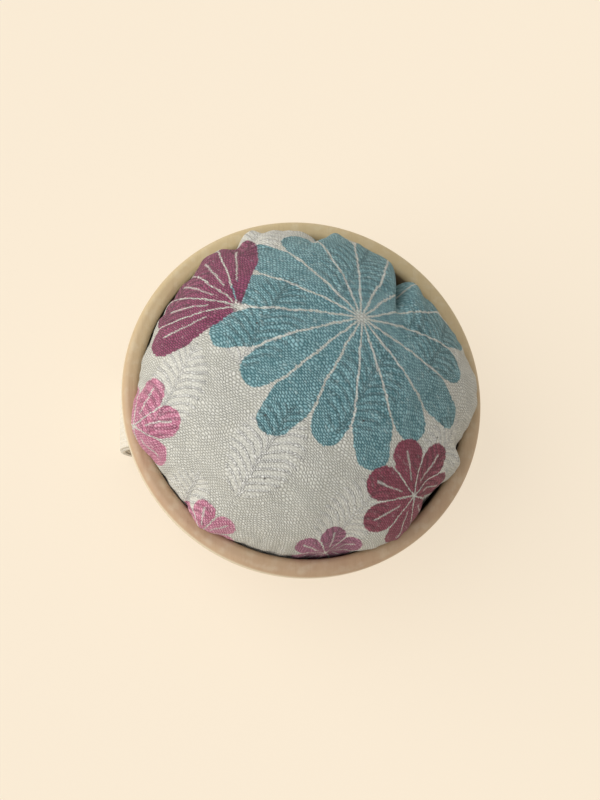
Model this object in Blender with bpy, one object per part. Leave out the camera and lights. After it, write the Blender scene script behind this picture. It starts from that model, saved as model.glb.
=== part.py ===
"""Wrist pin cushion: a stuffed cloth cushion glued into a turned wooden cup, on an elastic wrist band.

Metres, +Z up. The origin is the middle of the patch that the band rests on. The band lies along X,
so a wrist goes through its loop along Y.
"""

import math

import bmesh
import bpy
from mathutils import Vector

# Gaps kept between pieces that touch on the real object
TOUCH_GAP = 0.0003
SLOT_CLEARANCE = 0.0004

# Elastic wrist band
BAND_WIDTH = 0.0130
BAND_THICKNESS = 0.0012
LOOP_HEIGHT = 0.0100  # the floor to the cup's underside, with the loop lying collapsed
LOOP_BULGE = 0.0283  # how far the loop's sides stand out from the middle
LOWER_RUN_LENGTH = 0.0400
LAP_LENGTH = 0.0160  # how far the band's two ends overlap
LAP_RISE = 0.0040  # the length over which the upper end climbs onto the lower one

# Turned wooden cup
CUP_RADIUS = 0.0300
CUP_HEIGHT = 0.0140
CUP_WALL = 0.0030
CUP_FLOOR = 0.0030
CUP_BASE_RADIUS = 0.0250
BASE_CHAMFER = 0.0006
LIP_RADIUS = 0.0011  # the rounding of the lip's two edges
INNER_FILLET = 0.0030
SLOT_OFFSET = 0.0179  # from the cup's middle to each slot's middle

# Stuffed cushion
CLOTH = 0.0008  # the cover's thickness
DOME_HEIGHT = 0.0190  # above the rim
DOME_FULLNESS = 2.05  # the power of the dome's curve: 2 is an ellipse, and more is squarer
UNDERSIDE_FILLET = 0.0040
NECK_RADIUS = 0.0045  # the gathered hole, to the middle of the cloth
NECK_DEPTH = 0.0030  # how far the gathered edge is tucked in
NECK_FILLET = 0.0012

# Threads
GATHERING_THREAD_RADIUS = 0.0004
SEAM_THREAD_RADIUS = 0.00025
SEAM_ZIGZAG_WIDTH = 0.0022
SEAM_ZIGZAG_PITCH = 0.0018
SEAM_ROW_OFFSET = 0.0045  # from the lap's middle to each row

# How finely the round shapes are divided
CUP_SEGMENTS = 72
CUSHION_SEGMENTS = 48
STUFFING_SEGMENTS = 36
RING_SEGMENTS = 28
ARC_STEPS = 5
DOME_STEPS = 9

# Places that follow from the sizes above
CUP_BASE_Z = LOOP_HEIGHT
FLOOR_Z = CUP_BASE_Z + CUP_FLOOR
RIM_Z = CUP_BASE_Z + CUP_HEIGHT
MOUTH_RADIUS = CUP_RADIUS - CUP_WALL
LOWER_END_Z = FLOOR_Z + TOUCH_GAP + BAND_THICKNESS / 2
UPPER_END_Z = LOWER_END_Z + BAND_THICKNESS + TOUCH_GAP
SEAM_Z = UPPER_END_Z + BAND_THICKNESS / 2 + TOUCH_GAP + SEAM_THREAD_RADIUS
UNDERSIDE_Z = SEAM_Z + SEAM_THREAD_RADIUS + TOUCH_GAP + CLOTH / 2
NECK_TOP_Z = UNDERSIDE_Z + NECK_DEPTH
SEAT_RADIUS = MOUTH_RADIUS - TOUCH_GAP - CLOTH / 2  # the cloth's middle, against the cup's wall


def material(name, color, roughness):
    mat = bpy.data.materials.new(name)
    mat.use_nodes = True
    shader = mat.node_tree.nodes["Principled BSDF"]
    shader.inputs["Base Color"].default_value = (*color, 1.0)
    shader.inputs["Roughness"].default_value = roughness
    shader.inputs["Metallic"].default_value = 0.0
    return mat


def add_object(name, mesh, mat):
    obj = bpy.data.objects.new(name, mesh)
    bpy.context.scene.collection.objects.link(obj)
    mesh.materials.append(mat)
    return obj


def finish_mesh(name, bm, smooth_angle=math.radians(35)):
    bmesh.ops.recalc_face_normals(bm, faces=bm.faces)
    mesh = bpy.data.meshes.new(name)
    bm.to_mesh(mesh)
    bm.free()
    mesh.shade_smooth()
    mesh.set_sharp_from_angle(angle=smooth_angle)
    return mesh


def arc(center, radius, start_deg, end_deg, steps=ARC_STEPS):
    """Points on an arc in a plane, both ends included."""
    points = []
    for i in range(steps + 1):
        angle = math.radians(start_deg + (end_deg - start_deg) * i / steps)
        points.append((center[0] + radius * math.cos(angle), center[1] + radius * math.sin(angle)))
    return points


def offset_path(path, distance):
    """The path moved sideways: to its left where distance is positive."""
    moved = []
    for i, point in enumerate(path):
        before = Vector(path[max(i - 1, 0)])
        here = Vector(point)
        after = Vector(path[min(i + 1, len(path) - 1)])
        sides = [Vector((-d.y, d.x)).normalized() for d in (here - before, after - here) if d.length > 0]
        side = sum(sides, Vector((0, 0))).normalized()
        moved.append(tuple(here + side * distance / side.dot(sides[0])))
    return moved


def turned(name, profile, segments, mat, closed=False):
    """A profile of (radius, height) points turned about Z. Its ends lie on the axis unless it is closed."""
    bm = bmesh.new()
    verts = [bm.verts.new((radius, 0, height)) for radius, height in profile]
    pairs = list(zip(verts, verts[1:]))
    if closed:
        pairs.append((verts[-1], verts[0]))
    edges = [bm.edges.new(pair) for pair in pairs]
    bmesh.ops.spin(bm, geom=verts + edges, cent=(0, 0, 0), axis=(0, 0, 1), angle=math.tau,
                   steps=segments, use_merge=True)
    bmesh.ops.remove_doubles(bm, verts=bm.verts, dist=1e-6)
    return add_object(name, finish_mesh(name, bm), mat)


def ribbon(name, path, mat):
    """The band along a path of (x, z) points, with its full width along Y."""
    bm = bmesh.new()
    above = offset_path(path, BAND_THICKNESS / 2)
    below = offset_path(path, -BAND_THICKNESS / 2)
    rows = [[bm.verts.new((x, -BAND_WIDTH / 2, z)) for x, z in side] for side in (above, below)]
    faces = []
    for i in range(len(path) - 1):
        faces.append(bm.faces.new((rows[0][i], rows[0][i + 1], rows[1][i + 1], rows[1][i])))
    grown = bmesh.ops.extrude_face_region(bm, geom=faces)
    moved = [item for item in grown["geom"] if isinstance(item, bmesh.types.BMVert)]
    bmesh.ops.translate(bm, verts=moved, vec=(0, BAND_WIDTH, 0))
    return add_object(name, finish_mesh(name, bm), mat)


def mirrored(path):
    return [(-x, z) for x, z in path]


def slot_cutter(side):
    """A round-ended slot that runs right through the cup's floor."""
    half_width = BAND_THICKNESS / 2 + SLOT_CLEARANCE
    straight = BAND_WIDTH / 2 + SLOT_CLEARANCE
    outline = arc((side * SLOT_OFFSET, straight), half_width, 0, 180)
    outline += arc((side * SLOT_OFFSET, -straight), half_width, 180, 360)
    bm = bmesh.new()
    face = bm.faces.new([bm.verts.new((x, y, CUP_BASE_Z - CUP_FLOOR)) for x, y in outline])
    grown = bmesh.ops.extrude_face_region(bm, geom=[face])
    moved = [item for item in grown["geom"] if isinstance(item, bmesh.types.BMVert)]
    bmesh.ops.translate(bm, verts=moved, vec=(0, 0, 3 * CUP_FLOOR))
    name = "slot_cutter_left" if side < 0 else "slot_cutter_right"
    cutter = add_object(name, finish_mesh(name, bm), cutter_material)
    cutter.hide_render = True
    cutter.display_type = "WIRE"
    return cutter


def wooden_cup():
    """The cup's wall rises from a small base, swells to its full radius near the top and has a rounded lip."""
    lip_z = RIM_Z - LIP_RADIUS
    outer = [(0, CUP_BASE_Z), (CUP_BASE_RADIUS - BASE_CHAMFER, CUP_BASE_Z),
             (CUP_BASE_RADIUS, CUP_BASE_Z + BASE_CHAMFER)]
    swell = CUP_RADIUS - CUP_BASE_RADIUS
    rise = lip_z - outer[-1][1]
    for i in range(1, ARC_STEPS):
        share = i / ARC_STEPS
        bulge = math.sin(share * math.pi / 2)
        outer.append((CUP_BASE_RADIUS + swell * bulge, outer[2][1] + rise * share))
    lip = arc((CUP_RADIUS - LIP_RADIUS, lip_z), LIP_RADIUS, 0, 90, 4)
    lip += arc((MOUTH_RADIUS + LIP_RADIUS, lip_z), LIP_RADIUS, 90, 180, 4)
    hollow = arc((MOUTH_RADIUS - INNER_FILLET, FLOOR_Z + INNER_FILLET), INNER_FILLET, 0, -90)
    cup = turned("wooden_cup", outer + lip + hollow + [(0, FLOOR_Z)], CUP_SEGMENTS,
                 material("turned_wood", (0.60, 0.42, 0.27), 0.55))
    for side in (-1, 1):
        cut = cup.modifiers.new("slot", "BOOLEAN")
        cut.operation = "DIFFERENCE"
        cut.solver = "EXACT"
        cut.object = slot_cutter(side)
    return cup


def cushion_path():
    """The middle of the cover's cloth, from its tucked edge round under the cushion and up to the top."""
    path = [(NECK_RADIUS, NECK_TOP_Z)]
    path += arc((NECK_RADIUS + NECK_FILLET, UNDERSIDE_Z + NECK_FILLET), NECK_FILLET, 180, 270, 4)
    path += arc((SEAT_RADIUS - UNDERSIDE_FILLET, UNDERSIDE_Z + UNDERSIDE_FILLET), UNDERSIDE_FILLET, -90, 0)
    height = DOME_HEIGHT - CLOTH / 2
    for i in range(DOME_STEPS + 1):
        angle = math.pi / 2 * i / DOME_STEPS
        radius = SEAT_RADIUS * math.cos(angle) ** (2 / DOME_FULLNESS)
        path.append((radius, RIM_Z + height * math.sin(angle) ** (2 / DOME_FULLNESS)))
    path[-1] = (0, path[-1][1])
    return path


def cushion_cover(mat):
    path = cushion_path()
    skin = offset_path(path, -CLOTH / 2)
    lining = offset_path(path, CLOTH / 2)
    skin[-1] = (0, path[-1][1] + CLOTH / 2)
    lining[-1] = (0, path[-1][1] - CLOTH / 2)
    bm = bmesh.new()
    outline = skin + lining[::-1]
    verts = [bm.verts.new((radius, 0, height)) for radius, height in outline]
    pairs = list(zip(verts, verts[1:])) + [(verts[-1], verts[0])]
    apex = (verts[len(skin) - 1], verts[len(skin)])
    edges = [bm.edges.new(pair) for pair in pairs if pair != apex]
    bmesh.ops.spin(bm, geom=verts + edges, cent=(0, 0, 0), axis=(0, 0, 1), angle=math.tau,
                   steps=CUSHION_SEGMENTS, use_merge=True)
    bmesh.ops.remove_doubles(bm, verts=bm.verts, dist=1e-6)
    return add_object("cushion_cover", finish_mesh("cushion_cover", bm), mat)


def cushion_stuffing(mat):
    """The wad of stuffing fills the cover, with a dimple over the tucked edge."""
    path = cushion_path()
    wad = offset_path(path, CLOTH / 2 + TOUCH_GAP)
    wad[-1] = (0, path[-1][1] - CLOTH / 2 - TOUCH_GAP)
    dimple_z = NECK_TOP_Z + TOUCH_GAP
    profile = [(0, dimple_z), (wad[0][0], dimple_z)] + wad[1:]
    return turned("cushion_stuffing", profile, STUFFING_SEGMENTS, mat)


def gathering_thread(mat):
    """The drawn running stitch, closed to a ring inside the gathered hole."""
    radius = NECK_RADIUS - CLOTH / 2 - TOUCH_GAP - GATHERING_THREAD_RADIUS
    height = UNDERSIDE_Z + NECK_DEPTH / 2
    circle = arc((radius, height), GATHERING_THREAD_RADIUS, 0, 360, 8)[:-1]
    return turned("gathering_thread", circle, RING_SEGMENTS, mat, closed=True)


def side_path():
    """The collapsed loop's side: out of the slot, outward under the cup, round, and back along the floor."""
    bend = BAND_THICKNESS / 2 + SLOT_CLEARANCE + TOUCH_GAP
    top_z = CUP_BASE_Z - TOUCH_GAP
    strand_z = top_z - bend
    floor_z = BAND_THICKNESS / 2
    turn = (strand_z - floor_z) / 2
    turn_x = LOOP_BULGE - BAND_THICKNESS / 2 - turn
    path = arc((SLOT_OFFSET + bend, top_z), bend, 180, 270)
    path += arc((turn_x, floor_z + turn), turn, 90, -90, 2 * ARC_STEPS)
    path.append((LOWER_RUN_LENGTH / 2 + TOUCH_GAP, floor_z))
    return path


def slot_leg():
    """The stretch of band that rises through a slot and turns inward over the cup's floor."""
    bend = BAND_THICKNESS / 2 + SLOT_CLEARANCE + TOUCH_GAP / 3
    leg = [(SLOT_OFFSET, CUP_BASE_Z)]
    return leg + arc((SLOT_OFFSET - bend, LOWER_END_Z - bend), bend, 0, 90)


def lapped_end():
    """The band's upper end climbs onto the lower one."""
    half = LAP_LENGTH / 2
    path = slot_leg()
    for i in range(ARC_STEPS + 1):
        share = i / ARC_STEPS
        rise = (1 - math.cos(math.pi * share)) / 2
        x = half + TOUCH_GAP + BAND_THICKNESS + LAP_RISE * (1 - share)
        path.append((x, LOWER_END_Z + (UPPER_END_Z - LOWER_END_Z) * rise))
    path.append((-half, UPPER_END_Z))
    return path


def seam_row(name, x, mat):
    """One row of zigzag stitching across the lap, as a round thread."""
    count = 2 * int((BAND_WIDTH - SEAM_ZIGZAG_PITCH) / SEAM_ZIGZAG_PITCH) + 1
    curve = bpy.data.curves.new(name, "CURVE")
    curve.dimensions = "3D"
    curve.bevel_depth = SEAM_THREAD_RADIUS
    curve.bevel_resolution = 1
    curve.use_fill_caps = True
    spline = curve.splines.new("POLY")
    spline.points.add(count - 1)
    for i, point in enumerate(spline.points):
        y = (i - (count - 1) / 2) * SEAM_ZIGZAG_PITCH / 2
        swing = SEAM_ZIGZAG_WIDTH / 2 * (1 if i % 2 else -1)
        point.co = (x + swing, y, SEAM_Z, 1)
    obj = bpy.data.objects.new(name, curve)
    bpy.context.scene.collection.objects.link(obj)
    curve.materials.append(mat)
    return obj


for old in list(bpy.data.objects):
    bpy.data.objects.remove(old, do_unlink=True)

cutter_material = material("cutter", (0.5, 0.5, 0.5), 0.5)

wooden_cup()
cushion_cover(material("printed_crepe", (0.72, 0.70, 0.64), 0.85))
cushion_stuffing(material("cotton_stuffing", (0.86, 0.83, 0.76), 0.95))
gathering_thread(material("gathering_cotton", (0.80, 0.76, 0.68), 0.8))

elastic_cream = (0.84, 0.80, 0.70)
ribbon("band_left_end", mirrored(slot_leg() + [(-LAP_LENGTH / 2, LOWER_END_Z)]),
       material("elastic_left_end", elastic_cream, 0.8))
ribbon("band_right_end", lapped_end(), material("elastic_right_end", elastic_cream, 0.8))
ribbon("band_left_side", mirrored(side_path()), material("elastic_left_side", elastic_cream, 0.8))
ribbon("band_right_side", side_path(), material("elastic_right_side", elastic_cream, 0.8))
lower_run = [(-LOWER_RUN_LENGTH / 2, BAND_THICKNESS / 2), (LOWER_RUN_LENGTH / 2, BAND_THICKNESS / 2)]
ribbon("band_lower_run", lower_run, material("elastic_lower_run", elastic_cream, 0.8))

seam_row("seam_stitches_left", -SEAM_ROW_OFFSET, material("seam_thread_left", (0.78, 0.74, 0.64), 0.7))
seam_row("seam_stitches_right", SEAM_ROW_OFFSET, material("seam_thread_right", (0.78, 0.74, 0.64), 0.7))
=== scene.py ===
import math

import bmesh
import bpy
import numpy as np
from mathutils import Matrix, Vector, noise


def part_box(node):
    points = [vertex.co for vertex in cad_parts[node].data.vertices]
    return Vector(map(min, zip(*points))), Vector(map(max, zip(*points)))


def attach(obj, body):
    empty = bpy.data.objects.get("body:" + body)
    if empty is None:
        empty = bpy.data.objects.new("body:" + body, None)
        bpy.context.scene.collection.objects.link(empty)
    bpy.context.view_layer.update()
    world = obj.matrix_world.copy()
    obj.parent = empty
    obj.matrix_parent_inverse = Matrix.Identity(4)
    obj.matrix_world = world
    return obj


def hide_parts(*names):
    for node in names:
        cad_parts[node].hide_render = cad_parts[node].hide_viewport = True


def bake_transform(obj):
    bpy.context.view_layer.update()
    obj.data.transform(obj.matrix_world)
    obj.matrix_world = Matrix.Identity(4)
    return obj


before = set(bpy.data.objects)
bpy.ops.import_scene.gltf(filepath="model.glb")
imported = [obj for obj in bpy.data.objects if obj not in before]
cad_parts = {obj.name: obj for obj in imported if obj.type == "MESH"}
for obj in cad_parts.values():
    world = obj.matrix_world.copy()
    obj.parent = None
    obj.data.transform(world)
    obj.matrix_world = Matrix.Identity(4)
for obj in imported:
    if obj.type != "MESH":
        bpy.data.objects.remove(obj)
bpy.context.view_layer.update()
print("frame loaded")

# places that everything below is built from
mm = 0.001
cupLow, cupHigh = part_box("wooden_cup")
coverLow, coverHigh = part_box("cushion_cover")
runLow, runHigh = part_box("band_lower_run")
sideLow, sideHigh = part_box("band_right_side")
rightEndLow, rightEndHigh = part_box("band_right_end")
leftEndLow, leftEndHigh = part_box("band_left_end")
rimZ = cupHigh.z
baseZ = cupLow.z
cupRadius = cupHigh.x


# ---- camera, light and floor ----

view = {
    "tilt": 16.6,  # degrees away from straight above
    "towards": 233.0,  # degrees round Z, the side that the view leans to
    "distance": 0.40,
    "frameHeight": 0.1313,  # metres seen from top to bottom, at the rim
    "aim": (-0.75 * mm, -0.75 * mm, rimZ),
    "sensor": 36.0,
}


def addCamera():
    tilt, towards = math.radians(view["tilt"]), math.radians(view["towards"])
    out = Vector((math.cos(towards) * math.sin(tilt), math.sin(towards) * math.sin(tilt), math.cos(tilt)))
    right = Vector((0, 1, 0)).cross(out).normalized()
    up = out.cross(right)
    camera = bpy.data.objects.new("camera", bpy.data.cameras.new("camera"))
    bpy.context.scene.collection.objects.link(camera)
    turn = Matrix((right, up, out)).transposed().to_4x4()
    camera.matrix_world = Matrix.Translation(Vector(view["aim"]) + out * view["distance"]) @ turn
    camera.data.sensor_width = view["sensor"]
    camera.data.lens = view["sensor"] * view["distance"] / view["frameHeight"]
    camera.data.clip_start = 0.01
    bpy.context.scene.camera = camera


light = {
    "ambient": 0.44,
    "ambientColor": (1.0, 0.975, 0.94),
    "window": 2.25,  # a very wide soft source at the upper left
    "windowColor": (1.0, 0.99, 0.965),
    "windowWidth": 75.0,  # degrees across
    "windowFrom": (-0.84, 0.05, 0.60),
    "floorColor": (0.32, 0.28, 0.225),
    "floorGlow": 2.13,  # evens out the floor, so that its shadow stays faint
}


def addLight():
    world = bpy.data.worlds.new("softRoom")
    world.use_nodes = True
    sky = world.node_tree.nodes["Background"]
    sky.inputs["Color"].default_value = (*light["ambientColor"], 1)
    sky.inputs["Strength"].default_value = light["ambient"]
    bpy.context.scene.world = world
    lamp = bpy.data.lights.new("window", "SUN")
    lamp.energy = light["window"]
    lamp.color = light["windowColor"]
    lamp.angle = math.radians(light["windowWidth"])
    window = bpy.data.objects.new("window", lamp)
    window.location = light["windowFrom"]
    window.rotation_euler = Vector(light["windowFrom"]).to_track_quat("Z", "Y").to_euler()
    bpy.context.scene.collection.objects.link(window)
    bpy.context.scene.view_settings.view_transform = "Standard"


def addFloor():
    bpy.ops.mesh.primitive_plane_add(size=6, location=(0, 0, 0))
    floor = bpy.context.object
    floor.name = "floor"
    mat = bpy.data.materials.new("paleFloor")
    mat.use_nodes = True
    shader = mat.node_tree.nodes["Principled BSDF"]
    shader.inputs["Base Color"].default_value = (*light["floorColor"], 1)
    shader.inputs["Roughness"].default_value = 0.9
    shader.inputs["Specular IOR Level"].default_value = 0.1
    shader.inputs["Emission Color"].default_value = (*light["floorColor"], 1)
    shader.inputs["Emission Strength"].default_value = light["floorGlow"]
    floor.data.materials.append(mat)


addCamera()
addLight()
addFloor()
print("camera, light and floor")


# ---- shader sums: a Wire is one node output, and arithmetic on it adds nodes ----

class Wire:
    def __init__(self, tree, socket):
        self.tree = tree
        self.socket = socket

    def node(self, kind, operation, *others, output=0):
        made = self.tree.nodes.new(kind)
        made.operation = operation
        for place, value in enumerate((self,) + others):
            plug(self.tree, made.inputs[place], value)
        return Wire(self.tree, made.outputs[output])

    def math(self, operation, *others):
        return self.node("ShaderNodeMath", operation, *others)

    def vector(self, operation, *others):
        output = 1 if operation in ("DOT_PRODUCT", "LENGTH", "DISTANCE") else 0
        return self.node("ShaderNodeVectorMath", operation, *others, output=output)

    def __add__(self, other):
        return self.math("ADD", other)

    def __sub__(self, other):
        return self.math("SUBTRACT", other)

    def __rsub__(self, other):
        made = self.math("MULTIPLY", -1.0)
        return made + other

    def __mul__(self, other):
        return self.math("MULTIPLY", other)

    def __truediv__(self, other):
        return self.math("DIVIDE", other)

    def least(self, other):
        return self.math("MINIMUM", other)

    def most(self, other):
        return self.math("MAXIMUM", other)

    def clamped(self):
        return self.least(1.0).most(0.0)

    def scaled(self, factor):
        made = self.tree.nodes.new("ShaderNodeVectorMath")
        made.operation = "SCALE"
        plug(self.tree, made.inputs[0], self)
        plug(self.tree, made.inputs["Scale"], factor)
        return Wire(self.tree, made.outputs[0])

    def ramp(self, low, high, outLow=0.0, outHigh=1.0):  # a smooth step between two values
        made = self.tree.nodes.new("ShaderNodeMapRange")
        made.interpolation_type = "SMOOTHSTEP"
        for label, value in (("Value", self), ("From Min", low), ("From Max", high),
                             ("To Min", outLow), ("To Max", outHigh)):
            plug(self.tree, made.inputs[label], value)
        return Wire(self.tree, made.outputs[0])


def plug(tree, socket, value):
    if isinstance(value, Wire):
        tree.links.new(value.socket, socket)
    elif isinstance(value, tuple) and len(value) == 3 and len(socket.default_value) == 4:
        socket.default_value = (*value, 1)
    else:
        socket.default_value = value


def mixColor(tree, factor, first, second, blend="MIX"):
    made = tree.nodes.new("ShaderNodeMix")
    made.data_type = "RGBA"
    made.blend_type = blend
    plug(tree, made.inputs[0], factor)
    plug(tree, made.inputs[6], first)
    plug(tree, made.inputs[7], second)
    return Wire(tree, made.outputs[2])


def noiseAt(tree, place, scale, detail=2.0, roughness=0.5, color=False):
    made = tree.nodes.new("ShaderNodeTexNoise")
    plug(tree, made.inputs["Vector"], place)
    made.inputs["Scale"].default_value = scale
    made.inputs["Detail"].default_value = detail
    made.inputs["Roughness"].default_value = roughness
    return Wire(tree, made.outputs["Color" if color else "Fac"])


def turnedPlace(tree, place, angle, stretch=(1, 1, 1), shift=(0, 0, 0)):
    made = tree.nodes.new("ShaderNodeMapping")
    plug(tree, made.inputs["Vector"], place)
    made.inputs["Location"].default_value = shift
    made.inputs["Rotation"].default_value = (0, 0, math.radians(angle))
    made.inputs["Scale"].default_value = stretch
    return Wire(tree, made.outputs[0])


def newGroup(name, inputs, outputs):
    tree = bpy.data.node_groups.new(name, "ShaderNodeTree")
    kinds = {"value": "NodeSocketFloat", "vector": "NodeSocketVector", "color": "NodeSocketColor"}
    for label, kind, value in inputs:
        tree.interface.new_socket(name=label, in_out="INPUT", socket_type=kinds[kind]).default_value = value
    for label, kind in outputs:
        tree.interface.new_socket(name=label, in_out="OUTPUT", socket_type=kinds[kind])
    entry = tree.nodes.new("NodeGroupInput")
    leave = tree.nodes.new("NodeGroupOutput")
    return tree, {label: Wire(tree, entry.outputs[label]) for label, kind, value in inputs}, leave


def useGroup(tree, group, output=None, **values):
    made = tree.nodes.new("ShaderNodeGroup")
    made.node_tree = group
    for label, value in values.items():
        plug(tree, made.inputs[label], value)
    wires = {socket.name: Wire(tree, socket) for socket in made.outputs}
    return wires[output] if output else wires


def newMaterial(name):
    mat = bpy.data.materials.new(name)
    mat.use_nodes = True
    tree = mat.node_tree
    return mat, tree, tree.nodes["Principled BSDF"]


def addBump(tree, shader, height, distance, strength=1.0):
    bump = tree.nodes.new("ShaderNodeBump")
    bump.inputs["Strength"].default_value = strength
    bump.inputs["Distance"].default_value = distance
    plug(tree, bump.inputs["Height"], height)
    tree.links.new(bump.outputs["Normal"], shader.inputs["Normal"])


# ---- shared effects ----

# the signed distance, in mm of cloth, to a petal or vein: a line that swells from root to tip
def buildPetalShape():
    tree, given, leave = newGroup(
        "petalShape",
        [("P", "vector", (0, 0, 0)), ("Start", "vector", (0, 0, 0)), ("End", "vector", (1, 0, 0)),
         ("Root", "value", 0.3), ("Tip", "value", 2.0), ("Fullness", "value", 1.0), ("Belly", "value", 0.0),
         ("Bend", "value", 0.0)],
        [("Distance", "value")])
    axis = given["End"].vector("SUBTRACT", given["Start"])
    rel = given["P"].vector("SUBTRACT", given["Start"])
    square = axis.vector("DOT_PRODUCT", axis)
    along = (rel.vector("DOT_PRODUCT", axis) / square).clamped()
    side = axis.vector("CROSS_PRODUCT", (0, 0, 1)).vector("NORMALIZE")
    arch = along * (1.0 - along) * 4.0
    spine = axis.scaled(along).vector("ADD", side.scaled(arch * given["Bend"]))
    swell = (along * given["Fullness"]).least(1.0)
    radius = given["Root"] + (given["Tip"] - given["Root"]) * swell + arch * given["Belly"]
    distance = rel.vector("SUBTRACT", spine).vector("LENGTH") - radius
    plug(tree, leave.inputs["Distance"], distance)
    return tree


# crepe: short twisted threads laid like bricks, each with its own tone and its own small shift
def buildCrepeGrain():
    tree, given, leave = newGroup(
        "crepeGrain",
        [("P", "vector", (0, 0, 0)), ("Long", "value", 0.74), ("Wide", "value", 0.38)],
        [("Height", "value"), ("Tone", "value"), ("Shift", "vector")])
    sway = noiseAt(tree, given["P"], 0.16, 1.0, color=True).scaled(2.4)
    jitter = noiseAt(tree, given["P"], 1.1, 1.0, color=True).scaled(0.55)
    place = turnedPlace(tree, given["P"].vector("ADD", sway).vector("ADD", jitter), 44)
    parts = tree.nodes.new("ShaderNodeSeparateXYZ")
    tree.links.new(place.socket, parts.inputs[0])
    across = Wire(tree, parts.outputs["Y"]) / given["Wide"]
    row = across.math("FLOOR")
    along = Wire(tree, parts.outputs["X"]) / given["Long"] + row * 0.5
    brick = along.math("FLOOR")
    spot = tree.nodes.new("ShaderNodeCombineXYZ")
    plug(tree, spot.inputs[0], brick)
    plug(tree, spot.inputs[1], row)
    chance = tree.nodes.new("ShaderNodeTexWhiteNoise")
    chance.noise_dimensions = "2D"
    tree.links.new(spot.outputs[0], chance.inputs["Vector"])
    tone = Wire(tree, chance.outputs["Value"])
    swell = (across.math("FRACT") * math.pi).math("SINE") * (along.math("FRACT") * math.pi).math("SINE")
    plug(tree, leave.inputs["Height"], swell.most(0.0).math("POWER", 0.6) * (tone * 0.5 + 0.5))
    plug(tree, leave.inputs["Tone"], tone)
    plug(tree, leave.inputs["Shift"], Wire(tree, chance.outputs["Color"]).vector("SUBTRACT", (0.5, 0.5, 0.5)))
    return tree


# a woven feather: a spine with curved barbs to both sides, drawn in broken raised threads
def buildFeather():
    tree, given, leave = newGroup(
        "damaskFeather",
        [("P", "vector", (0, 0, 0)), ("Start", "vector", (0, 0, 0)), ("End", "vector", (1, 0, 0)),
         ("Spread", "value", 6.0), ("Pitch", "value", 2.0)],
        [("Thread", "value"), ("Area", "value")])
    axis = given["End"].vector("SUBTRACT", given["Start"])
    rel = given["P"].vector("SUBTRACT", given["Start"])
    length = axis.vector("LENGTH")
    along = rel.vector("DOT_PRODUCT", axis.vector("NORMALIZE"))
    side = axis.vector("CROSS_PRODUCT", (0, 0, 1)).vector("NORMALIZE")
    across = rel.vector("DOT_PRODUCT", side).math("ABSOLUTE")
    share = along / length
    hump = (share * (1.0 - share) * 4.0).most(0.0).math("POWER", 0.5)
    reach = hump * given["Spread"]
    area = (reach - across).ramp(0.0, 2.6)
    curl = across * across * 0.11
    phase = (along - across * 1.1 + curl) / given["Pitch"]
    barb = (phase.math("FRACT") - 0.5).math("ABSOLUTE") * given["Pitch"]
    barbLine = barb.ramp(0.17, 0.36, 1.0, 0.0)
    inside = share.ramp(-0.01, 0.0) * share.ramp(1.0, 1.02, 1.0, 0.0)
    spineLine = (across - 0.18).math("ABSOLUTE").ramp(0.08, 0.20, 1.0, 0.0) * inside
    broken = noiseAt(tree, given["P"], 1.9, 1.0).ramp(0.33, 0.45)
    line = (barbLine * area.ramp(0.0, 0.4)).most(spineLine) * broken
    plug(tree, leave.inputs["Thread"], line)
    plug(tree, leave.inputs["Area"], area)
    return tree


petalShape = buildPetalShape()
crepeGrain = buildCrepeGrain()
damaskFeather = buildFeather()
print("shared effects")


def fibreMaterial(name, pale, deep, scale, depth):
    mat, tree, shader = newMaterial(name)
    where = tree.nodes.new("ShaderNodeTexCoord")
    place = Wire(tree, where.outputs["Object"]).scaled(1000.0)
    tangle = noiseAt(tree, place, scale, 4.0, 0.7)
    color = mixColor(tree, tangle.ramp(0.35, 0.65), deep, pale)
    tree.links.new(color.socket, shader.inputs["Base Color"])
    shader.inputs["Roughness"].default_value = 0.9
    addBump(tree, shader, tangle, depth)
    return mat


# ---- the print on the crepe, in mm of flat cloth round the cushion's top ----

bloom = {
    "center": (6.0, 9.0),
    "petals": 16,
    "lengths": (25.0, 22.0),  # every other petal is a little shorter
    "tip": 3.0,
    "turn": 6.0,
    "line": 0.34,
    "belly": 0.8,
}


# a plain flower or fan: equal petals evenly spread round a middle, each with one vein
def blossom(middle, petals, reach, tip, turn=0.0, sweep=360.0, root=0.8):
    lobes, veins = [], []
    for number in range(petals):
        angle = math.radians(turn + sweep / petals * number)
        dx, dy = math.cos(angle), math.sin(angle)

        def along(far):
            return middle[0] + dx * far, middle[1] + dy * far

        lobes.append((*along(root), *along(reach - tip), root, tip, 0.0))
        veins.append((*along(0.3 * reach), *along(0.8 * reach), 0.22, 0.0))
    return {"lobes": lobes, "veins": veins, "line": 0.28}


fanLeaf = blossom((-14.0, 11.0), 5, 18.0, 3.9, turn=92.0, sweep=125.0)
sideFlower = blossom((-33.0, -8.0), 6, 9.0, 2.9)
lowFlower = blossom((-21.0, -29.0), 6, 7.0, 2.3, turn=20.0)
roundFlower = blossom((18.0, -20.0), 7, 10.5, 3.0, turn=10.0)
smallFlower = blossom((4.0, -34.0), 6, 7.5, 2.5, turn=30.0)

# woven feathers in a plain half-drop repeat: start, end, spread, pitch
feathers = []
for column in range(4):
    for row in range(3):
        left, low = -30.0 + 16.0 * column, -32.0 + 22.0 * row + 11.0 * (column % 2)
        feathers.append((left, low, left + 9.0, low + 15.0, 6.5, 1.5))

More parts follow.
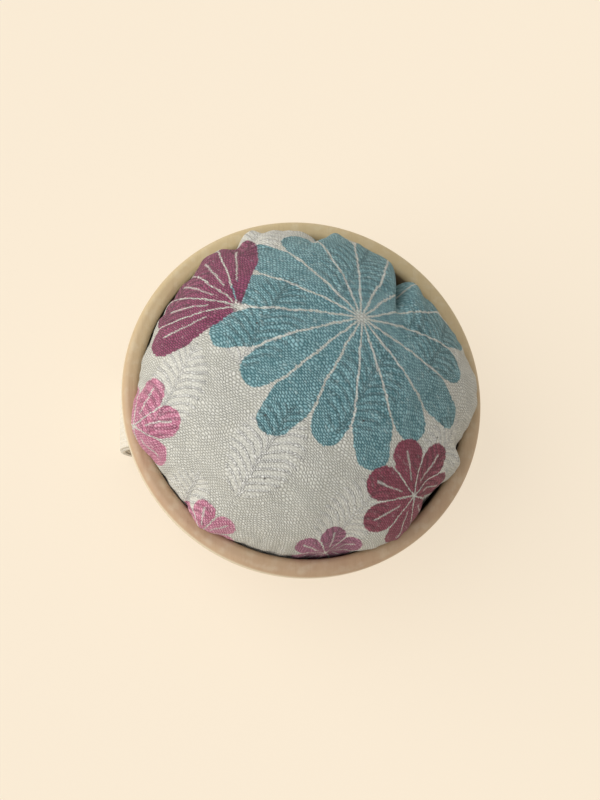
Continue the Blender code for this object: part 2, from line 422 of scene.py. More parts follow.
cloth = {
    "ground": (0.755, 0.755, 0.70),
    # groundShade: painted shade for the hollows of the crepe grain
    "groundShade": (0.45, 0.445, 0.385),
    # thread: the damask's raised threads, painted lighter as a sheen
    "thread": (0.90, 0.90, 0.865),
    # each ink has a pale and a deep colour: the deep one is painted shade in the grain's hollows, the pale
    # one painted light on its raised tops
    "blue": (0.30, 0.53, 0.58),
    "blueDeep": (0.05, 0.165, 0.195),
    "plum": (0.12, 0.014, 0.050),
    "plumLight": (0.37, 0.072, 0.175),
    "pink": (0.45, 0.115, 0.215),
    "pinkLight": (0.76, 0.36, 0.49),
    "crimson": (0.165, 0.022, 0.046),
    "crimsonLight": (0.37, 0.080, 0.135),
    "mauve": (0.26, 0.075, 0.14),
    "mauveLight": (0.47, 0.19, 0.30),
    "roughness": 0.78,
    "grainDepth": 0.26 * mm,
    "specks": [(-9.5, -7.6), (-9.3, -17.8), (-10.9, 7.6), (6.2, -8.0), (21.0, -9.5)],  # dark nubs in the yarn
}


# the mask of one motif: its lobes with pale lines between them, less its veins
def motifMask(tree, place, motif, soft=0.14):
    nearest, second = None, None
    for x0, y0, x1, y1, root, tip, bend in motif["lobes"]:
        away = useGroup(tree, petalShape, "Distance", P=place, Start=(x0, y0, 0), End=(x1, y1, 0),
                        Root=root, Tip=tip, Fullness=1.5, Bend=bend)
        if nearest is None:
            nearest, second = away, away + 100.0
        else:
            second = nearest.most(away).least(second)
            nearest = nearest.least(away)
    mask = nearest.ramp(-soft, soft, 1.0, 0.0)
    mask = mask * (second - nearest).ramp(motif["line"] - 0.2, motif["line"] + 0.2)
    veins = None
    for x0, y0, x1, y1, width, bend in motif["veins"]:
        away = useGroup(tree, petalShape, "Distance", P=place, Start=(x0, y0, 0), End=(x1, y1, 0),
                        Root=width * 0.4, Tip=width * 0.7, Fullness=1.0, Bend=bend)
        veins = away if veins is None else veins.least(away)
    return mask * veins.ramp(-0.14, 0.20, 0.15, 1.0)


def bloomMask(tree, place, soft=0.14):
    cx, cy = bloom["center"]
    nearest, second = None, None
    for number in range(bloom["petals"]):
        angle = math.radians(bloom["turn"] + 360 / bloom["petals"] * number)
        reach = bloom["lengths"][number % 2] - bloom["tip"]
        end = (cx + reach * math.cos(angle), cy + reach * math.sin(angle), 0)
        away = useGroup(tree, petalShape, "Distance", P=place, Start=(cx, cy, 0), End=end,
                        Root=0.1, Tip=bloom["tip"], Fullness=1.25, Belly=bloom["belly"], Bend=0.0)
        if nearest is None:
            nearest, second = away, away + 100.0
        else:
            second = nearest.most(away).least(second)
            nearest = nearest.least(away)
    mask = nearest.ramp(-soft, soft, 1.0, 0.0)
    return mask * (second - nearest).ramp(bloom["line"] - 0.18, bloom["line"] + 0.25, 0.10, 1.0)


def printedCrepe():
    mat, tree, shader = newMaterial("printedCrepe")
    layer = tree.nodes.new("ShaderNodeUVMap")
    layer.uv_map = "clothPlace"
    flat = Wire(tree, layer.outputs["UV"]).scaled(100.0)  # mm of cloth
    grain = useGroup(tree, crepeGrain, P=flat)
    drift = noiseAt(tree, flat, 0.22, 1.0, color=True).vector("SUBTRACT", (0.5, 0.5, 0.5)).scaled(0.8)
    place = flat.vector("ADD", drift).vector("ADD", grain["Shift"].scaled(0.22)).vector("MULTIPLY", (1, 1, 0))
    woven = flat.vector("ADD", drift.scaled(1.6)).vector("MULTIPLY", (1, 1, 0))

    thread, satin = None, None
    for x0, y0, x1, y1, spread, pitch in feathers:
        leaf = useGroup(tree, damaskFeather, P=woven, Start=(x0, y0, 0), End=(x1, y1, 0), Spread=spread,
                        Pitch=pitch)
        thread = leaf["Thread"] if thread is None else thread * (1.0 - leaf["Area"]) + leaf["Thread"]
        satin = leaf["Area"] if satin is None else satin.most(leaf["Area"])

    height, tone = grain["Height"], grain["Tone"]
    blotch = noiseAt(tree, flat, 0.4, 3.0)
    rough = satin.ramp(0.0, 1.0, 1.0, 0.62)
    # painted shade: the ground takes its groundShade colour in the grain's hollows, mixed with random
    # blotches, less where the satin lies smooth
    sunk = (height * 1.1 + blotch * 0.5).ramp(0.25, 1.05, 0.85, 0.0) * rough
    ground = mixColor(tree, sunk, cloth["ground"], cloth["groundShade"])
    # the feathers are the cloth's own woven pattern; their lighter thread colour, brighter still on the
    # raised grain, is a painted sheen
    thread = thread * (height * 1.2 + 0.4)
    color = mixColor(tree, thread, ground, cloth["thread"])
    inked = [
        (bloomMask(tree, place), "blue", "blueDeep"), (motifMask(tree, place, fanLeaf), "plumLight", "plum"),
        (motifMask(tree, place, sideFlower), "pinkLight", "pink"),
        (motifMask(tree, place, lowFlower), "pinkLight", "pink"),
        (motifMask(tree, place, smallFlower), "mauveLight", "mauve"),
        (motifMask(tree, place, roundFlower), "crimsonLight", "crimson"),
    ]
    # painted light and shade: each ink runs from its deep colour in the grain's hollows to its pale colour on
    # the raised grain, with random tone and blotches
    inkShadeAndMottle = (height * 1.25 + tone * 0.1 + blotch * 0.6 - thread * 0.15).ramp(0.37, 1.38)
    missed = tone.ramp(0.93, 1.0, 0.97, 0.84)
    for mask, pale, deep in inked:
        ink = mixColor(tree, inkShadeAndMottle, cloth[deep], cloth[pale])
        color = mixColor(tree, mask * missed, color, ink)
    nub = None
    for x, y in cloth["specks"]:
        away = flat.vector("DISTANCE", (x, y, 0))
        nub = away if nub is None else nub.least(away)
    color = mixColor(tree, nub.ramp(0.10, 0.26, 0.85, 0.0), color, (0.07, 0.06, 0.055))
    tree.links.new(color.socket, shader.inputs["Base Color"])
    shader.inputs["Roughness"].default_value = cloth["roughness"]
    shader.inputs["Specular IOR Level"].default_value = 0.25
    shader.inputs["Sheen Weight"].default_value = 0.15
    shader.inputs["Sheen Roughness"].default_value = 0.5
    relief = height * rough + thread * 0.9
    addBump(tree, shader, relief, cloth["grainDepth"])
    return mat


# ---- the cushion ----

cushion = {
    "rings": 200,
    "spokes": 480,
    "fullness": 2.05,  # the power of the dome's curve
    "fillet": 4.0 * mm,
    "neck": 4.5 * mm,
    # where the cloth's edge lies against the lip: direction in degrees, mm beyond the mouth
    "edge": [
        (0, 1.9), (5, 2.1), (11, 1.8), (16, 1.0), (25, 0.4), (33, -0.2), (37, -1.2), (41, -2.6), (45, -3.6),
        (48, -3.9), (51, -4.0), (56, -3.8),
        (60, -1.8), (65, -0.6), (72, 0.4), (79, 0.9), (82, 0.7), (84, -0.2), (87, 0.3), (92, 1.1), (100, 1.1),
        (105, 1.5), (109, 2.3), (112, 1.4), (116, 0.0), (121, 0.9), (127, 1.5), (131, 0.9), (136, 0.2),
        (145, 0.05), (155, 0.1), (165, 0.4), (180, 0.9), (187, 2.0), (192, 2.8), (198, 2.7), (204, 1.5),
        (211, 0.8), (218, 0.45), (224, 0.45), (228, 1.2), (232, 2.0), (236, 1.5), (241, 0.8), (250, 0.5),
        (262, 0.25), (271, -0.1), (281, -0.1), (288, 0.4), (295, 1.2), (302, 1.5), (308, 0.8), (313, -0.1),
        (319, -0.7), (325, -0.6), (330, 0.5), (334, 1.2), (337, 0.6), (341, -0.2), (346, -0.1), (351, 0.8),
        (355, 1.6),
    ],
    # the tuck: a slit in the cloth, in mm, where the left side laps over the right one
    "tuck": {
        "start": (13.1, 11.8), "end": (18.2, 30.8), "depth": 6.2, "lap": 0.5, "ripples": 0.18,
        "lip": 0.35,  # how suddenly the left side drops
        "width": 1.5, "widening": 1.2, "bowl": 2.6,  # the right side's slope
    },
    # a pleat, where the right side stands over the left one
    "pleat": {"start": (-3.0, 21.5), "end": (4.8, 36.0), "depth": 1.3},
    # soft creases: start, end, depth, half width, all in mm of cloth
    "creases": [
        (-9.0, 33.0, -11.0, 27.0, 0.5, 1.2), (-16.5, 32.0, -14.0, 25.0, 0.3, 1.2),
        (-33.0, -8.0, -25.0, -5.0, 0.3, 1.8), (-33.5, 5.0, -27.0, 4.0, 0.25, 1.8),
        (26.5, -23.0, 20.0, -16.0, 0.45, 1.6), (33.0, -11.0, 27.0, -9.0, 0.45, 1.3),
        (33.0, 6.0, 25.0, 5.0, 0.25, 1.8), (7.0, -35.0, 6.0, -27.0, 0.3, 2.0),
        (-20.0, -27.0, -16.0, -21.0, 0.25, 1.8),
        (-25.0, -24.0, -21.0, -19.0, 0.3, 1.3), (30.0, -16.0, 25.0, -13.0, 0.3, 1.2),
    ],
}


def ease(low, high, value):
    share = np.clip((value - low) / (high - low), 0, 1)
    return share * share * (3 - 2 * share)


def hump(value, middle, width):
    return np.exp(-((value - middle) / width) ** 2)


# the cushion's outline from its top down to the gathered neck, as radius and height
def cushionOutline():
    radius, height, power = coverHigh.x, coverHigh.z - rimZ, 2 / cushion["fullness"]
    angle = np.linspace(math.pi / 2, 0, 400)
    dome = np.stack([radius * np.cos(angle) ** power, rimZ + height * np.sin(angle) ** power], 1)
    dome[0, 0] = 0
    fillet, low = cushion["fillet"], coverLow.z
    turn = np.linspace(0, math.pi / 2, 30)
    foot = np.stack([radius - fillet + fillet * np.cos(turn), low + fillet - fillet * np.sin(turn)], 1)
    neck = np.array([(cushion["neck"] + 1.2 * mm, low), (cushion["neck"], low + 1.0 * mm),
                     (cushion["neck"] - 0.3 * mm, low + 2.6 * mm), (0, low + 2.8 * mm)])
    return np.concatenate([dome, foot, neck])


def resample(path, count):
    run = np.concatenate([[0], np.cumsum(np.linalg.norm(np.diff(path, axis=0), axis=1))])
    at = np.linspace(0, 1, count) * run[-1]
    return np.stack([np.interp(at, run, path[:, 0]), np.interp(at, run, path[:, 1])], 1), at


# how far the cloth's edge stands beyond the cup's mouth, in mm, for each spoke
def edgeReach(phi):
    points = np.array(cushion["edge"])
    fine = np.interp(np.degrees(phi), points[:, 0], points[:, 1], period=360)
    soft = np.exp(-(np.arange(-6, 7) / 2.2) ** 2)
    wrapped = np.concatenate([fine[-6:], fine, fine[:6]])
    return np.convolve(wrapped, soft / soft.sum(), "valid")


def segmentPlace(point, start, end):
    axis = np.array(end) - np.array(start)
    length = np.linalg.norm(axis)
    rel = point - np.array(start)
    along = rel @ axis / length ** 2
    right = np.array((axis[1], -axis[0])) / length
    return along, rel @ right, right


def cushionShape():
    outline, run = resample(cushionOutline(), cushion["rings"])
    rings, spokes = cushion["rings"], cushion["spokes"]
    phi = np.linspace(0, 2 * math.pi, spokes, endpoint=False)
    radius, height = outline[:, 0][:, None], outline[:, 1][:, None]
    point = np.stack([radius * np.cos(phi), radius * np.sin(phi), height + 0 * phi], 2)
    flat = np.stack([run[:, None] * np.cos(phi), run[:, None] * np.sin(phi)], 2) / mm
    slope = np.gradient(outline, axis=0)
    out = np.stack([-slope[:, 1], slope[:, 0]], 1)
    out /= np.linalg.norm(out, axis=1)[:, None]
    normal = np.stack([out[:, 0][:, None] * np.cos(phi), out[:, 0][:, None] * np.sin(phi),
                       out[:, 1][:, None] + 0 * phi], 2)
    lift = (height - rimZ) / mm  # mm above the rim
    reach = edgeReach(phi)
    proud = ease(0.0, 1.4, lift) * (1 - ease(2.0, 11.0, lift))
    sunk = ease(-4.5, -1.0, lift) * (1 - ease(1.0, 8.0, lift))
    push = np.where(reach > 0, proud * reach, sunk * reach)
    for x0, y0, x1, y1, depth, width in cushion["creases"]:
        along, across, _ = segmentPlace(flat, (x0, y0), (x1, y1))
        fade = ease(-0.25, 0.2, along) * (1 - ease(0.7, 1.2, along))
        push -= depth * fade * hump(across, 0, width)
        push += 0.5 * depth * fade * hump(np.abs(across), 2.2 * width, width)
    tuck = cushion["tuck"]
    along, across, tuckRight = segmentPlace(flat, tuck["start"], tuck["end"])
    deep = ease(-0.10, 0.45, along) * (1 - ease(1.1, 1.4, along))
    left = across < 0
    steep = np.abs(across) / (tuck["width"] + tuck["widening"] * np.clip(along, 0, 1))
    drop = np.where(left, np.exp(across / tuck["lip"]), np.exp(-steep ** tuck["bowl"]))
    push -= tuck["depth"] * deep * drop
    push += 0.2 * deep * hump(across, 4.4, 1.3) - 0.4 * deep * hump(across, 6.5, 1.5)
    push += 0.3 * deep * np.where(left, hump(across, -2.4, 1.8), 0)
    slide = tuck["lap"] * deep * np.where(left, np.exp(across / 1.4), np.exp(-across / 0.6))
    # ripples that spread from the slit's inner end
    away = np.linalg.norm(flat - np.array(tuck["start"]), axis=2)
    facing = ease(-0.3, 0.5, (flat[..., 0] - tuck["start"][0]) / np.maximum(away, 0.01))
    ripple = np.cos(2 * math.pi * (away - 0.9) / 1.9) * ease(0.8, 2.0, away) * (1 - ease(4.0, 8.5, away))
    push += tuck["ripples"] * ripple * facing * (1 - ease(0.1, 0.35, along))
    pleat = cushion["pleat"]
    along, across, _ = segmentPlace(flat, pleat["start"], pleat["end"])
    deep = ease(0.0, 0.8, along) * (1 - ease(1.1, 1.4, along))
    push -= pleat["depth"] * deep * np.where(across < 0, np.exp(across / 2.8), np.exp(-across / 0.5))
    push += 0.5 * deep * hump(across, 2.0, 1.4)
    # the stuffing's own unevenness, and fine puckers near the rim
    for i in range(rings):
        high = 1 if lift[i, 0] > 0 else 0.3
        near = math.exp(-((lift[i, 0] - 1.5) / 4.0) ** 2)
        for j in range(spokes):
            x, y, z = point[i, j] / mm
            lump = noise.noise((x / 9, y / 9, z / 9)) + 0.4 * noise.noise((x / 4, y / 4, z / 4 + 9))
            pucker = noise.noise((18 * math.cos(phi[j]), 18 * math.sin(phi[j]), z / 7))
            push[i, j] += 0.4 * high * lump + 0.3 * near * pucker
    moved = point + normal * (push * mm)[:, :, None]
    moved[:, :, :2] += slide[:, :, None] * mm * tuckRight
    return moved, flat


# keeps the cloth off the cup's wall and lip
def clearOfCup(point):
    wall = coverHigh.x + 0.12 * mm
    lipZ = rimZ + 0.15 * mm
    radius = np.hypot(point[..., 0], point[..., 1])
    shrink = np.minimum(1, wall / np.maximum(radius, 1e-9))
    low = point[..., 2] < lipZ
    point[..., 0] = np.where(low, point[..., 0] * shrink, point[..., 0])
    point[..., 1] = np.where(low, point[..., 1] * shrink, point[..., 1])
    return point


# a closed body from rings of points, with its first and last ring drawn together
def ringMesh(name, point, flat=None):
    rings, spokes = point.shape[:2]
    verts = [tuple(point[0].mean(axis=0))]
    verts += [tuple(p) for p in point[1:-1].reshape(-1, 3)]
    verts.append(tuple(point[-1].mean(axis=0)))
    last = len(verts) - 1

    def at(ring, spoke):
        if ring == 0:
            return 0
        if ring == rings - 1:
            return last
        return 1 + (ring - 1) * spokes + spoke % spokes

    faces, places = [], []
    for i in range(rings - 1):
        for j in range(spokes):
            corners = [(i, j), (i + 1, j), (i + 1, j + 1), (i, j + 1)]
            if i == 0:
                corners = corners[:3]
            elif i == rings - 2:
                corners = [corners[0], corners[1], corners[3]]
            faces.append([at(*c) for c in corners])
            if flat is not None:
                places += [flat[c[0], c[1] % spokes] / 100 for c in corners]
    mesh = bpy.data.meshes.new(name)
    mesh.from_pydata(verts, [], faces)
    if flat is not None:
        layer = mesh.uv_layers.new(name="clothPlace")
        layer.data.foreach_set("uv", np.array(places, np.float32).ravel())
    mesh.shade_smooth()
    piece = bpy.data.objects.new(name, mesh)
    bpy.context.scene.collection.objects.link(piece)
    return piece


settle = {
    "every": 2,  # one point of the coarse cloth for so many of the fine one
    "scale": 20.0,  # the coarse cloth is simulated this much larger
    "pressure": 4.0,
    "mass": 0.4,
    "stretch": 40,
    "shear": 20,
    "bending": 0.6,
    "frames": 20,
    "cap": 0.8 * mm,  # how far the cloth may move
}


# a coarse copy of the cloth swells under the stuffing's pressure, and gives its small moves to the fine one
def settleCloth(point, flat):
    step, scale = settle["every"], settle["scale"]
    coarse = point[::step, ::step]
    rings, spokes = coarse.shape[:2]
    sheet = ringMesh("settlingCloth", coarse * scale)
    tuck = cushion["tuck"]
    along, across, _ = segmentPlace(flat[::step, ::step], tuck["start"], tuck["end"])
    slit = ease(-0.5, -0.1, along) * hump(across, 0, 4.0)
    firm = np.maximum(1 - ease(-1.0, 3.0, (coarse[..., 2] - rimZ) / mm), slit)
    held = sheet.vertex_groups.new(name="held")
    for ring in range(1, rings - 1):
        for spoke in range(spokes):
            held.add([1 + (ring - 1) * spokes + spoke], float(firm[ring, spoke]), "REPLACE")
    held.add([len(sheet.data.vertices) - 1], 1.0, "REPLACE")
    cloth = sheet.modifiers.new("settle", "CLOTH")
    cloth.settings.quality = 6
    cloth.settings.mass = settle["mass"]
    cloth.settings.tension_stiffness = settle["stretch"]
    cloth.settings.compression_stiffness = settle["stretch"]
    cloth.settings.shear_stiffness = settle["shear"]
    cloth.settings.bending_stiffness = settle["bending"]
    cloth.settings.air_damping = 3
    cloth.settings.use_pressure = True
    cloth.settings.uniform_pressure_force = settle["pressure"]
    cloth.settings.vertex_group_mass = "held"
    cloth.settings.effector_weights.gravity = 0
    cloth.collision_settings.use_collision = False
    cloth.point_cache.frame_start = 1
    cloth.point_cache.frame_end = settle["frames"]
    scene = bpy.context.scene
    for frameNumber in range(1, settle["frames"] + 1):
        scene.frame_set(frameNumber)
        bpy.context.view_layer.update()
    settled = sheet.evaluated_get(bpy.context.evaluated_depsgraph_get()).to_mesh()
    places = np.array([v.co[:] for v in settled.vertices])[1:-1].reshape(rings - 2, spokes, 3) / scale
    scene.frame_set(1)
    bpy.data.objects.remove(sheet, do_unlink=True)
    move = np.zeros_like(coarse)
    move[1:-1] = places - coarse[1:-1]
    move[0] = move[1].mean(axis=0)
    size = np.linalg.norm(move, axis=2, keepdims=True)
    print("cloth settled: up to", round(float(size.max()) / mm, 2), "mm before the cap,",
          round(float(size.mean()) / mm, 2), "mm on average")
    move *= np.minimum(1, settle["cap"] / np.maximum(size, 1e-9))
    around = np.arange(point.shape[1]) / step
    low = np.floor(around).astype(int)
    part = (around - low)[None, :, None]
    move = move[:, low % spokes] * (1 - part) + move[:, (low + 1) % spokes] * part
    down = np.minimum(np.arange(point.shape[0]) / step, rings - 1)
    low = np.minimum(np.floor(down).astype(int), rings - 2)
    part = (down - low)[:, None, None]
    return point + move[low] * (1 - part) + move[low + 1] * part


def makeCushion():
    point, flat = cushionShape()
    point = clearOfCup(settleCloth(point, flat))
    piece = ringMesh("stuffedCushion", point, flat)
    piece.data.materials.append(printedCrepe())
    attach(piece, "cup")
    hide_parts("cushion_cover")
    return point


wad = {
    "gap": 1.0 * mm,  # between the wad and the middle of the cloth
    "every": 4,  # one point of the wad for so many of the cloth
    "lumps": 0.35 * mm,
    "pale": (0.88, 0.85, 0.79),
    "deep": (0.72, 0.68, 0.60),
}


# the wad fills the cloth, so it takes the cloth's shape a little way in
def makeWad(cloth):
    step = wad["every"]
    low = coverLow.z + 2.2 * mm
    point = cloth[::step, ::step].copy()
    middle = np.array((0, 0, (coverHigh.z + coverLow.z) / 2))
    across = np.roll(cloth, -3, axis=1) - np.roll(cloth, 3, axis=1)
    down = np.gradient(cloth, axis=0)
    out = np.cross(across, down)
    out /= np.maximum(np.linalg.norm(out, axis=2), 1e-12)[..., None]
    out = out[::step, ::step]
    out *= np.sign((out * (point - middle)).sum(axis=2))[..., None]
    point -= out * wad["gap"]
    radius = np.hypot(point[..., 0], point[..., 1])
    point[..., 2] = np.maximum(point[..., 2], low)
    hem = (point[..., 2] < low + 1e-6) & (radius < cushion["neck"] + 2 * mm)
    point[..., 2] = np.where(hem, low + 1.6 * mm, point[..., 2])
    for ring in point:
        for place in ring:
            place -= (place - middle) * (0.5 + 0.5 * noise.noise(place / mm / 3)) * wad["lumps"] / (20 * mm)
    piece = ringMesh("cottonWad", point)
    piece.data.materials.append(fibreMaterial("cottonWad", wad["pale"], wad["deep"], 1.2, 0.3 * mm))
    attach(piece, "cup")
    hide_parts("cushion_stuffing")


makeWad(makeCushion())
print("cushion")


# ---- the wooden cup ----

cup = {
    "segments": 192,
    "lip": 1.15 * mm,
    "wall": 3.0 * mm,
    "floor": 3.0 * mm,
    "baseRadius": 25.0 * mm,
    "chamfer": 0.6 * mm,
    "innerFillet": 3.0 * mm,
    "slotAt": 17.9 * mm,
    "slotHalfWidth": 1.0 * mm,
    "slotHalfLength": 6.9 * mm,
    "pale": (0.60, 0.43, 0.28),
    "tan": (0.50, 0.325, 0.205),
    # a yellow tint painted towards +Y as light
    "litSideTint": (0.66, 0.54, 0.31),
    # the outer wall's pale colour, painted as lit, also used for the rubbed lip
    "litWallAndWearPale": (0.80, 0.735, 0.56),
    # near-black red-brown painted on the inner wall as shade and red reflection
    "inside": (0.075, 0.035, 0.025),
    "pore": (0.36, 0.23, 0.13),
    "roughness": 0.5,
}


def arcPoints(center, radius, start, end, steps):
    angles = [math.radians(start + (end - start) * i / steps) for i in range(steps + 1)]
    return [(center[0] + radius * math.cos(a), center[1] + radius * math.sin(a)) for a in angles]


def turnedWood():
    mat, tree, shader = newMaterial("turnedWood")
    where = tree.nodes.new("ShaderNodeTexCoord")
    place = Wire(tree, where.outputs["Object"]).scaled(1000.0)
    streak = noiseAt(tree, turnedPlace(tree, place, 35, (1.0, 0.10, 0.5)), 0.7, 4.0, 0.6)
    broad = noiseAt(tree, turnedPlace(tree, place, 35, (1.0, 0.4, 0.6)), 0.07, 2.0)
    pores = noiseAt(tree, turnedPlace(tree, place, 35, (1.0, 0.06, 0.4)), 3.6, 2.0)
    parts = tree.nodes.new("ShaderNodeSeparateXYZ")
    tree.links.new(place.socket, parts.inputs[0])
    high = Wire(tree, parts.outputs["Z"])
    around = place.vector("MULTIPLY", (1, 1, 0))
    outer = around.vector("LENGTH")
    # painted light: a paler, yellower tint towards +Y stands in for the colour of the light falling on that
    # side
    litSideTint = around.vector("DOT_PRODUCT", (0.05, 0.99, 0)).ramp(-20.0, 26.0)
    body = mixColor(tree, (streak * 0.35 + broad * 0.75).ramp(0.3, 0.8), cup["pale"], cup["tan"])
    color = mixColor(tree, litSideTint * 0.8, body, cup["litSideTint"])
    color = mixColor(tree, pores.ramp(0.56, 0.76, 0.0, 0.16), color, cup["pore"])
    under = high.ramp(rimZ / mm - 1.6, rimZ / mm - 0.5, 1.0, 0.0)
    facing = Wire(tree, where.outputs["Normal"]).vector("DOT_PRODUCT", around.vector("NORMALIZE"))
    # painted light: the outer wall under the lip is painted pale cream, as if lit from the side
    color = mixColor(tree, under * facing.ramp(0.0, 0.3) * 0.8, color, cup["litWallAndWearPale"])
    # painted shade and painted reflection: the inner wall under the lip is painted near-black red-brown for
    # the shadow in the gap and the red cloth's bounce
    inside = under * facing.ramp(-0.3, -0.1, 1.0, 0.0)
    color = mixColor(tree, inside * 0.7, color, cup["inside"])
    # real wear: rubbed patches on top of the lip take the same pale colour
    worn = noiseAt(tree, place, 0.5, 3.0).ramp(0.45, 0.7) * high.ramp(rimZ / mm - 0.8, rimZ / mm - 0.1)
    color = mixColor(tree, worn * 0.22, color, cup["litWallAndWearPale"])
    tree.links.new(color.socket, shader.inputs["Base Color"])
    rough = (pores * 0.6 + worn * 0.3).ramp(0.2, 0.8, cup["roughness"] - 0.06, cup["roughness"] + 0.16)
    tree.links.new(rough.socket, shader.inputs["Roughness"])
    shader.inputs["Specular IOR Level"].default_value = 0.35
    rings = (high * 5.2 + noiseAt(tree, place, 0.3, 1.0) * 2.0).math("SINE") * outer.ramp(28.0, 29.5)
    addBump(tree, shader, streak * 0.4 + pores * 0.5 + rings * 0.12, 0.05 * mm)
    return mat


def makeCup():
    mouth, lip = cupRadius - cup["wall"], cup["lip"]
    lipZ = rimZ - lip
    floorZ = baseZ + cup["floor"]
    low = (cup["baseRadius"], baseZ + cup["chamfer"])
    outline = [(0, baseZ), (cup["baseRadius"] - cup["chamfer"] - 0.1 * mm, baseZ)]
    corner = (cup["baseRadius"] - cup["chamfer"], baseZ + cup["chamfer"])
    outline += arcPoints(corner, cup["chamfer"], -90, 0, 5)
    for i in range(1, 24):
        share = i / 24
        swell = (cupRadius - cup["baseRadius"]) * math.sin(share * math.pi / 2)
        outline.append((low[0] + swell, low[1] + (lipZ - low[1]) * share))
    outline += arcPoints((cupRadius - lip, lipZ), lip, 0, 90, 10)
    outline += arcPoints((mouth + lip, lipZ), lip, 90, 180, 10)
    fillet = cup["innerFillet"]
    outline += arcPoints((mouth - fillet, floorZ + fillet), fillet, 0, -90, 8)
    outline.append((0, floorZ))
    bm = bmesh.new()
    verts = [bm.verts.new((r, 0, z)) for r, z in outline]
    edges = [bm.edges.new(pair) for pair in zip(verts, verts[1:])]
    bmesh.ops.spin(bm, geom=verts + edges, cent=(0, 0, 0), axis=(0, 0, 1), angle=math.tau,
                   steps=cup["segments"], use_merge=True)
    bmesh.ops.remove_doubles(bm, verts=bm.verts, dist=1e-6)
    bmesh.ops.recalc_face_normals(bm, faces=bm.faces)
    mesh = bpy.data.meshes.new("turnedCup")
    bm.to_mesh(mesh)
    bm.free()
    piece = bpy.data.objects.new("turnedCup", mesh)
    bpy.context.scene.collection.objects.link(piece)
    cutSlots(piece)
    piece.data.shade_smooth()
    piece.data.set_sharp_from_angle(angle=math.radians(40))
    piece.data.materials.clear()
    piece.data.materials.append(turnedWood())
    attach(piece, "cup")
    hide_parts("wooden_cup")
    return piece


def cutSlots(piece):
    for side in (-1, 1):
        half = cup["slotHalfWidth"]
        reach = cup["slotHalfLength"] - half
        outline = arcPoints((side * cup["slotAt"], reach), half, 0, 180, 10)
        outline += arcPoints((side * cup["slotAt"], -reach), half, 180, 360, 10)
        bm = bmesh.new()
        face = bm.faces.new([bm.verts.new((x, y, baseZ - cup["floor"])) for x, y in outline])
        grown = bmesh.ops.extrude_face_region(bm, geom=[face])
        moved = [item for item in grown["geom"] if isinstance(item, bmesh.types.BMVert)]
        bmesh.ops.translate(bm, verts=moved, vec=(0, 0, 3 * cup["floor"]))
        bmesh.ops.recalc_face_normals(bm, faces=bm.faces)
        mesh = bpy.data.meshes.new("slotTool")
        bm.to_mesh(mesh)
        bm.free()
        tool = bpy.data.objects.new("slotTool", mesh)
        bpy.context.scene.collection.objects.link(tool)
        cut = piece.modifiers.new("slot", "BOOLEAN")
        cut.operation = "DIFFERENCE"
        cut.solver = "EXACT"
        cut.object = tool
        applyModifiers(piece)
        bpy.data.objects.remove(tool, do_unlink=True)


def applyModifiers(piece):
    graph = bpy.context.evaluated_depsgraph_get()
    made = bpy.data.meshes.new_from_object(piece.evaluated_get(graph), depsgraph=graph)
    piece.modifiers.clear()
    piece.data = made


makeCup()
print("cup")


# ---- the elastic band ----

band = {
    "thickness": runHigh.z - runLow.z,
    "width": runHigh.y - runLow.y,
    "ribs": 15,
    "ribDepth": 0.10 * mm,
    "slotAt": 17.9 * mm,
    "bend": 1.1 * mm,
    "step": 0.35 * mm,
    "color": (0.80, 0.755, 0.66),
    "shade": (0.64, 0.585, 0.47),
    "roughness": 0.8,
}


# the whole band from its end in the cup, out of the left slot, round below and back in at the right
def bandPath():
    half = band["thickness"] / 2
    bend, slot = band["bend"], band["slotAt"]
    lowEndZ = (leftEndHigh.z - half)
    topEndZ = (rightEndHigh.z - half)
    turn = (sideHigh.z - bend - half) / 2
    turnX = sideHigh.x - half - turn
    right = arcPoints((turnX, half + turn), turn, -90, 90, 16)
    right += arcPoints((slot + bend, sideHigh.z), bend, 270, 180, 8)
    right.append((slot, baseZ + 1.0 * mm))
    inner = arcPoints((slot - bend, lowEndZ - bend), bend, 0, 90, 8)
    left = [(-x, z) for x, z in reversed(right + inner)]
    lap = leftEndHigh.x
    path = [(lap, lowEndZ)] + left + [(-slot / 2, half), (slot / 2, half)] + right + inner
    climb = [(lap + 1.6 * mm + 4.0 * mm * (1 - i / 8),
              lowEndZ + (topEndZ - lowEndZ) * (1 - math.cos(math.pi * i / 8)) / 2)
             for i in range(9)]
    return path + climb + [(rightEndLow.x, topEndZ)]


# the band's section: ribs along its length on both faces, and rounded edges
def bandSection():
    half, depth = band["thickness"] / 2, band["ribDepth"]
    wide = band["width"] / 2 - half * 0.7
    steps = band["ribs"] * 5
    top = []
    for i in range(steps + 1):
        across = -wide + 2 * wide * i / steps
        rib = abs(math.sin(math.pi * band["ribs"] * i / steps))
        top.append((across, half - depth * (1 - rib)))
    edge = [(wide + 0.7 * half * math.cos(a), (half - depth) * math.sin(a))
            for a in (math.radians(d) for d in (60, 30, 0, -30, -60))]
    bottom = [(y, -z) for y, z in reversed(top)]
    return top + edge + bottom + [(-y, z) for y, z in reversed([(e[0], -e[1]) for e in edge])][::1]


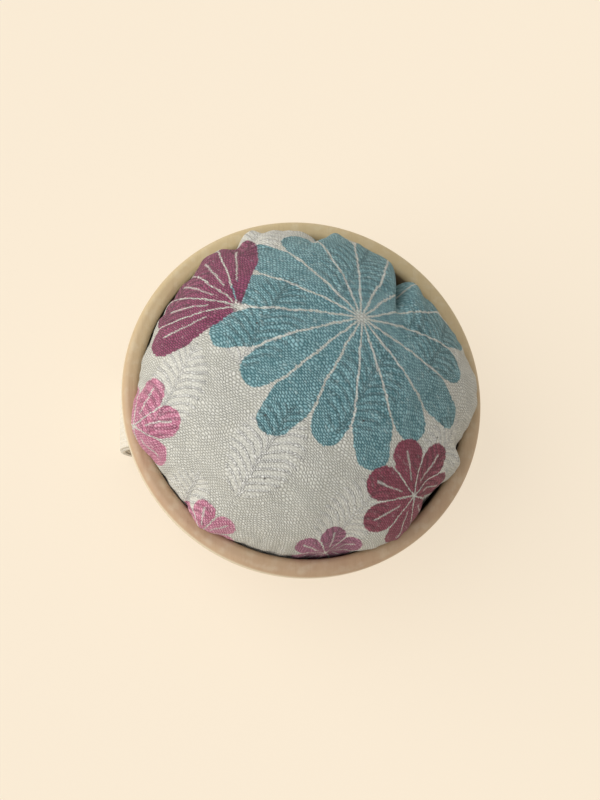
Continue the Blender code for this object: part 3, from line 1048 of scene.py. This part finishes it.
def elasticWeb():
    mat, tree, shader = newMaterial("elasticWeb")
    layer = tree.nodes.new("ShaderNodeUVMap")
    layer.uv_map = "webPlace"
    place = Wire(tree, layer.outputs["UV"]).scaled(100.0)  # mm along and across
    parts = tree.nodes.new("ShaderNodeSeparateXYZ")
    tree.links.new(place.socket, parts.inputs[0])
    along, across = Wire(tree, parts.outputs["X"]), Wire(tree, parts.outputs["Y"])
    picks = ((along * 2.6 + noiseAt(tree, place, 0.8, 1.0) * 0.8) * math.pi).math("SINE").math("ABSOLUTE")
    ribs = (across * (band["ribs"] / band["width"] * mm) * math.pi).math("SINE").math("ABSOLUTE")
    fuzz = noiseAt(tree, place, 6.0, 2.0)
    knit = picks * 0.6 + ribs * 0.4
    # painted shade and light: the web is darker in the valleys of its ribs and picks and paler on their tops,
    # with random fuzz
    color = mixColor(tree, (knit * 0.7 + fuzz * 0.4).ramp(0.2, 0.8), band["shade"], band["color"])
    tree.links.new(color.socket, shader.inputs["Base Color"])
    shader.inputs["Roughness"].default_value = band["roughness"]
    shader.inputs["Specular IOR Level"].default_value = 0.25
    shader.inputs["Sheen Weight"].default_value = 0.2
    addBump(tree, shader, picks * ribs * 0.8 + fuzz * 0.3, 0.10 * mm)
    return mat


def makeBand():
    path, run = resample(np.array(bandPath()), int(0.175 / band["step"]))
    section = bandSection()
    tangent = np.gradient(path, axis=0)
    tangent /= np.linalg.norm(tangent, axis=1)[:, None]
    up = np.stack([-tangent[:, 1], tangent[:, 0]], 1)
    verts = []
    for place, lift in zip(path, up):
        for across, rise in section:
            verts.append((place[0] + lift[0] * rise, across, place[1] + lift[1] * rise))
    count, around = len(path), len(section)
    faces, places = [], []
    for i in range(count - 1):
        for j in range(around):
            k = (j + 1) % around
            faces.append((i * around + j, i * around + k, (i + 1) * around + k, (i + 1) * around + j))
            sideways = [section[j][0], section[k][0]]
            places += [(run[i], sideways[0]), (run[i], sideways[1])]
            places += [(run[i + 1], sideways[1]), (run[i + 1], sideways[0])]
    faces.append(tuple(reversed(range(around))))
    places += [(run[0], section[j][0]) for j in reversed(range(around))]
    faces.append(tuple((count - 1) * around + j for j in range(around)))
    places += [(run[-1], section[j][0]) for j in range(around)]
    mesh = bpy.data.meshes.new("wristBand")
    mesh.from_pydata(verts, [], faces)
    layer = mesh.uv_layers.new(name="webPlace")
    layer.data.foreach_set("uv", (np.array(places, np.float32) / mm / 100).ravel())
    bm = bmesh.new()
    bm.from_mesh(mesh)
    bmesh.ops.recalc_face_normals(bm, faces=bm.faces)
    bm.to_mesh(mesh)
    bm.free()
    mesh.shade_smooth()
    mesh.set_sharp_from_angle(angle=math.radians(50))
    mesh.materials.append(elasticWeb())
    piece = bpy.data.objects.new("wristBand", mesh)
    bpy.context.scene.collection.objects.link(piece)
    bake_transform(piece)
    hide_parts("band_left_end", "band_right_end", "band_left_side", "band_right_side",
                "band_lower_run")
    return piece


makeBand()
print("band")


# ---- the pieces inside, which keep their CAD shapes ----

def finishHidden():
    thread = fibreMaterial("cottonThread", (0.80, 0.76, 0.67), (0.58, 0.53, 0.44), 6.0, 0.05 * mm)
    for node in ("gathering_thread", "seam_stitches_left", "seam_stitches_right"):
        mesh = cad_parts[node].data
        mesh.materials.clear()
        mesh.materials.append(thread)


finishHidden()
print("inner pieces")
